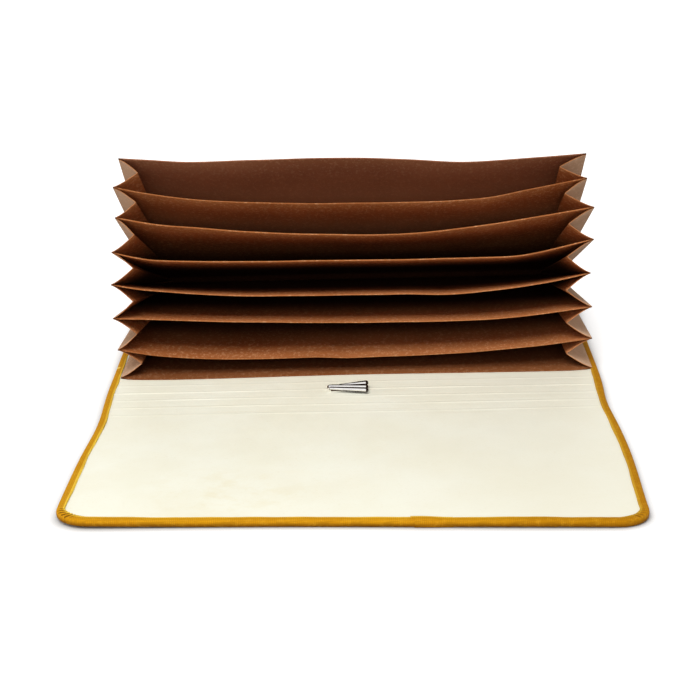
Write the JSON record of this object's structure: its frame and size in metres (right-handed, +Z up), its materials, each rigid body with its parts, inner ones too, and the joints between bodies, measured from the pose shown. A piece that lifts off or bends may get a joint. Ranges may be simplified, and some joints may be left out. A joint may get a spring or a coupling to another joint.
{
  "type": "coupon organizer wallet",
  "caption": "Cloth-bound accordion wallet for coupons, lying open: kraft pockets with pleated sides fanned up over a scored cover, the flap unfolded in front.",
  "frame": {"origin": "middle of the back cover's underside, on the surface that the wallet lies on", "axes": "+X to the right of someone facing the pocket mouths, +Y from the mouths to the closed end, +Z up"},
  "size_m": [0.19, 0.2611, 0.0836],
  "materials": {
    "outer_cloth": "woven, matt",
    "cover_board": "plain board",
    "lining": "coated, fine matt",
    "binding_tape": "woven tape",
    "kraft_board": "kraft, fibrous matt",
    "gusset_paper": "kraft, creased",
    "clip_metal": "polished nickel plate"
  },
  "bodies": {
    "back_cover": {"back_cover_skin": "outer_cloth", "back_cover_board": "cover_board", "back_cover_lining": "lining", "back_cover_tape": "binding_tape", "back_panel": "kraft_board", "pocket_floor_7": "kraft_board", "gusset_left_7": "gusset_paper", "gusset_right_7": "gusset_paper"},
    "divider_6": {"divider_6": "kraft_board", "pocket_floor_6": "kraft_board", "gusset_left_6": "gusset_paper", "gusset_right_6": "gusset_paper"},
    "divider_5": {"divider_5": "kraft_board", "pocket_floor_5": "kraft_board", "gusset_left_5": "gusset_paper", "gusset_right_5": "gusset_paper"},
    "divider_4": {"divider_4": "kraft_board", "pocket_floor_4": "kraft_board", "gusset_left_4": "gusset_paper", "gusset_right_4": "gusset_paper"},
    "divider_3": {"divider_3": "kraft_board", "pocket_floor_3": "kraft_board", "gusset_left_3": "gusset_paper", "gusset_right_3": "gusset_paper"},
    "divider_2": {"divider_2": "kraft_board", "pocket_floor_2": "kraft_board", "gusset_left_2": "gusset_paper", "gusset_right_2": "gusset_paper"},
    "divider_1": {"divider_1": "kraft_board", "pocket_floor_1": "kraft_board", "gusset_left_1": "gusset_paper", "gusset_right_1": "gusset_paper"},
    "front_panel": {"front_panel": "kraft_board"},
    "spine_1": {"spine_strip_1": "lining", "spine_tape_1": "binding_tape", "clip_base": "clip_metal", "clip_rivet": "clip_metal"},
    "spine_2": {"spine_strip_2": "lining", "spine_tape_2": "binding_tape"},
    "spine_3": {"spine_strip_3": "lining", "spine_tape_3": "binding_tape"},
    "flap": {"flap_skin": "outer_cloth", "flap_board": "cover_board", "flap_lining": "lining", "flap_tape": "binding_tape", "flap_tape_lap": "binding_tape"},
    "clip_tongue": {"clip_tongue": "clip_metal"}
  },
  "joints": [
    {"name": "fold_1", "type": "hinge", "parent": "back_cover", "child": "spine_1", "pos_m": [0, -0.0594, 0.002], "axis": [-1, 0, 0], "range_deg": [0, 45]},
    {"name": "fold_2", "type": "hinge", "parent": "spine_1", "child": "spine_2", "pos_m": [0, -0.077, 0.002], "axis": [-1, 0, 0], "range_deg": [0, 45]},
    {"name": "fold_3", "type": "hinge", "parent": "spine_2", "child": "spine_3", "pos_m": [0, -0.0858, 0.002], "axis": [-1, 0, 0], "range_deg": [0, 45]},
    {"name": "fold_4", "type": "hinge", "parent": "spine_3", "child": "flap", "pos_m": [0, -0.0946, 0.002], "axis": [-1, 0, 0], "range_deg": [0, 45]},
    {"name": "pocket_7", "type": "hinge", "parent": "back_cover", "child": "divider_6", "pos_m": [0, 0.0554, 0.0052], "axis": [1, 0, 0], "range_deg": [0, 4.6], "deforming": ["gusset_left_7", "gusset_right_7"]},
    {"name": "pocket_6", "type": "hinge", "parent": "divider_6", "child": "divider_5", "pos_m": [0, 0.05566, 0.00839], "axis": [1, 0, 0], "range_deg": [0, 5.1], "deforming": ["gusset_left_6", "gusset_right_6"]},
    {"name": "pocket_5", "type": "hinge", "parent": "divider_5", "child": "divider_4", "pos_m": [0, 0.0562, 0.01154], "axis": [1, 0, 0], "range_deg": [0, 5.5], "deforming": ["gusset_left_5", "gusset_right_5"]},
    {"name": "pocket_4", "type": "hinge", "parent": "divider_4", "child": "divider_3", "pos_m": [0, 0.05704, 0.01463], "axis": [1, 0, 0], "range_deg": [0, 5.4], "deforming": ["gusset_left_4", "gusset_right_4"]},
    {"name": "pocket_3", "type": "hinge", "parent": "divider_3", "child": "divider_2", "pos_m": [0, 0.05816, 0.01763], "axis": [1, 0, 0], "range_deg": [0, 5.4], "deforming": ["gusset_left_3", "gusset_right_3"]},
    {"name": "pocket_2", "type": "hinge", "parent": "divider_2", "child": "divider_1", "pos_m": [0, 0.05956, 0.0205], "axis": [1, 0, 0], "range_deg": [0, 4.9], "deforming": ["gusset_left_2", "gusset_right_2"]},
    {"name": "pocket_1", "type": "hinge", "parent": "divider_1", "child": "front_panel", "pos_m": [0, 0.06121, 0.02325], "axis": [1, 0, 0], "range_deg": [0, 4.3], "deforming": ["gusset_left_1", "gusset_right_1"]},
    {"name": "clip_lift", "type": "hinge", "parent": "spine_1", "child": "clip_tongue", "pos_m": [-0.00975, -0.0698, 0.00285], "axis": [0, -1, 0], "range_deg": [0, 10], "stiffness_Nm_per_rad": 0.05, "springref_deg": -5.73}
  ],
  "couplings": [
    {"joint": "fold_2", "follows": "fold_1", "ratio": 1},
    {"joint": "fold_3", "follows": "fold_1", "ratio": 1},
    {"joint": "fold_4", "follows": "fold_1", "ratio": 1},
    {"joint": "pocket_7", "follows": "fold_1", "ratio": 0.10222},
    {"joint": "pocket_6", "follows": "fold_1", "ratio": 0.11333},
    {"joint": "pocket_5", "follows": "fold_1", "ratio": 0.12222},
    {"joint": "pocket_4", "follows": "fold_1", "ratio": 0.12},
    {"joint": "pocket_3", "follows": "fold_1", "ratio": 0.12},
    {"joint": "pocket_2", "follows": "fold_1", "ratio": 0.10889},
    {"joint": "pocket_1", "follows": "fold_1", "ratio": 0.095555}
  ]
}
